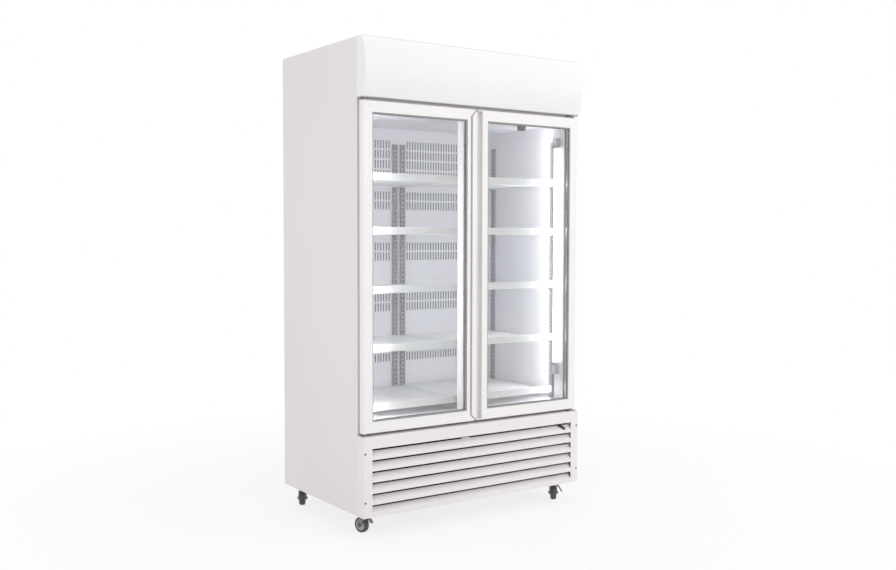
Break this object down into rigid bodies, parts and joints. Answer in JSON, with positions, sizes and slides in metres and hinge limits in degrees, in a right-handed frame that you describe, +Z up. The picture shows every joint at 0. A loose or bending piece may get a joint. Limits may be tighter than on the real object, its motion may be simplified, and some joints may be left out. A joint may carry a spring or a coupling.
{
  "type": "glass door merchandiser",
  "caption": "Upright glass door merchandiser with a curved light box on top, sheet shelves with ticket strips, a louvred base grille and swivel castors.",
  "frame": {"origin": "on the floor under the middle of the cabinet's bounding box", "axes": "+X to the right seen from the front, +Y to the rear, +Z up"},
  "size_m": [1.12, 0.725, 1.983],
  "materials": {
    "white_sheet": "satin",
    "liner_sheet": "satin",
    "grille_paint": "satin",
    "foam": "matte",
    "zinc_steel": "satin",
    "black_enamel": "gloss",
    "coil_fins": "satin",
    "spacer_bar": "satin",
    "pane_glass": "gloss",
    "lamp_glass": "gloss",
    "light_cover": "gloss",
    "grey_plastic": "matte",
    "black_plastic": "matte",
    "seal_rubber": "matte",
    "castor_steel": "satin",
    "castor_tread": "matte"
  },
  "bodies": {
    "cabinet": {"left_side_panel": "white_sheet", "right_side_panel": "white_sheet", "back_panel": "white_sheet", "top_panel": "white_sheet", "base_plate": "zinc_steel", "insulation": "foam", "inner_liner": "liner_sheet", "vent_panel": "liner_sheet", "ceiling_panel": "liner_sheet", "mullion": "white_sheet", "front_frame": "white_sheet", "shelf_standards": "liner_sheet", "shelf_level_1": "white_sheet", "shelf_level_2": "white_sheet", "shelf_level_3": "white_sheet", "shelf_level_4": "white_sheet", "floor_shelves": "white_sheet", "ticket_strips": "light_cover", "shelf_clips": "zinc_steel", "lamp_tubes": "lamp_glass", "lamp_holders": "grey_plastic", "canopy_box": "white_sheet", "canopy_cheeks": "light_cover", "canopy_face": "light_cover", "canopy_trim": "light_cover", "grille_frame": "grille_paint", "grille_louvres": "grille_paint", "screws": "zinc_steel", "hinge_brackets": "zinc_steel", "castor_plates": "castor_steel", "compressor": "black_enamel", "condenser": "coil_fins", "fan_motors": "black_plastic", "evaporator": "coil_fins", "drain_pan": "grey_plastic", "control_box": "grey_plastic", "cable_gland": "black_plastic", "rear_cover": "zinc_steel"},
    "left_door": {"left_door_frame": "white_sheet", "left_glass": "pane_glass", "left_glass_spacer": "spacer_bar", "left_gasket": "seal_rubber"},
    "right_door": {"right_door_frame": "white_sheet", "right_glass": "pane_glass", "right_glass_spacer": "spacer_bar", "right_gasket": "seal_rubber"},
    "front_left_swivel": {"front_left_castor_fork": "castor_steel"},
    "front_left_roller": {"front_left_castor_wheel": "castor_tread"},
    "front_left_brake": {"front_left_brake_lever": "castor_steel"},
    "front_right_swivel": {"front_right_castor_fork": "castor_steel"},
    "front_right_roller": {"front_right_castor_wheel": "castor_tread"},
    "front_right_brake": {"front_right_brake_lever": "castor_steel"},
    "rear_left_swivel": {"rear_left_castor_fork": "castor_steel"},
    "rear_left_roller": {"rear_left_castor_wheel": "castor_tread"},
    "rear_right_swivel": {"rear_right_castor_fork": "castor_steel"},
    "rear_right_roller": {"rear_right_castor_wheel": "castor_tread"},
    "condenser_fan_rotor": {"condenser_fan": "black_plastic"},
    "left_evaporator_fan_rotor": {"left_evaporator_fan": "black_plastic"},
    "right_evaporator_fan_rotor": {"right_evaporator_fan": "black_plastic"},
    "switch_lever": {"light_switch": "black_plastic"}
  },
  "joints": [
    {"name": "left_door_hinge", "type": "hinge", "parent": "cabinet", "child": "left_door", "pos_m": [-0.539, -0.3215, 0.415], "axis": [0, 0, -1], "range_deg": [0, 110]},
    {"name": "right_door_hinge", "type": "hinge", "parent": "cabinet", "child": "right_door", "pos_m": [0.539, -0.3215, 0.415], "axis": [0, 0, 1], "range_deg": [0, 110]},
    {"name": "front_left_swivel_turn", "type": "hinge", "parent": "cabinet", "child": "front_left_swivel", "pos_m": [-0.497, -0.2505, 0.08], "axis": [0, 0, 1], "continuous": true},
    {"name": "front_left_wheel_roll", "type": "hinge", "parent": "front_left_swivel", "child": "front_left_roller", "pos_m": [-0.50269, -0.22925, 0.032], "axis": [-0.9659, -0.2588, 0], "continuous": true},
    {"name": "front_left_brake_press", "type": "hinge", "parent": "front_left_swivel", "child": "front_left_brake", "pos_m": [-0.47804, -0.23817, 0.062], "axis": [-0.2588, 0.9659, 0], "range_deg": [0, 20]},
    {"name": "front_right_swivel_turn", "type": "hinge", "parent": "cabinet", "child": "front_right_swivel", "pos_m": [0.497, -0.2505, 0.08], "axis": [0, 0, 1], "continuous": true},
    {"name": "front_right_wheel_roll", "type": "hinge", "parent": "front_right_swivel", "child": "front_right_roller", "pos_m": [0.48438, -0.26852, 0.032], "axis": [0.8192, -0.5736, 0], "continuous": true},
    {"name": "front_right_brake_press", "type": "hinge", "parent": "front_right_swivel", "child": "front_right_brake", "pos_m": [0.5106, -0.26857, 0.062], "axis": [0.5736, 0.8192, 0], "range_deg": [0, 20]},
    {"name": "rear_left_swivel_turn", "type": "hinge", "parent": "cabinet", "child": "rear_left_swivel", "pos_m": [-0.497, 0.3075, 0.08], "axis": [0, 0, 1], "continuous": true},
    {"name": "rear_left_wheel_roll", "type": "hinge", "parent": "rear_left_swivel", "child": "rear_left_roller", "pos_m": [-0.50962, 0.28948, 0.032], "axis": [0.8192, -0.5736, 0], "continuous": true},
    {"name": "rear_right_swivel_turn", "type": "hinge", "parent": "cabinet", "child": "rear_right_swivel", "pos_m": [0.497, 0.3075, 0.08], "axis": [0, 0, 1], "continuous": true},
    {"name": "rear_right_wheel_roll", "type": "hinge", "parent": "rear_right_swivel", "child": "rear_right_roller", "pos_m": [0.497, 0.3295, 0.032], "axis": [-1, 0, 0], "continuous": true},
    {"name": "condenser_fan_spin", "type": "hinge", "parent": "cabinet", "child": "condenser_fan_rotor", "pos_m": [-0.26, -0.2275, 0.2195], "axis": [0, 1, 0], "continuous": true},
    {"name": "left_evaporator_fan_spin", "type": "hinge", "parent": "cabinet", "child": "left_evaporator_fan_rotor", "pos_m": [-0.25, -0.128, 1.8185], "axis": [0, 1, 0], "continuous": true},
    {"name": "right_evaporator_fan_spin", "type": "hinge", "parent": "cabinet", "child": "right_evaporator_fan_rotor", "pos_m": [0.25, -0.128, 1.8185], "axis": [0, 1, 0], "continuous": true},
    {"name": "light_switch_turn", "type": "hinge", "parent": "cabinet", "child": "switch_lever", "pos_m": [0.456, -0.32516, 0.3546], "axis": [0, -0.7433, 0.669], "range_deg": [0, 30]}
  ]
}
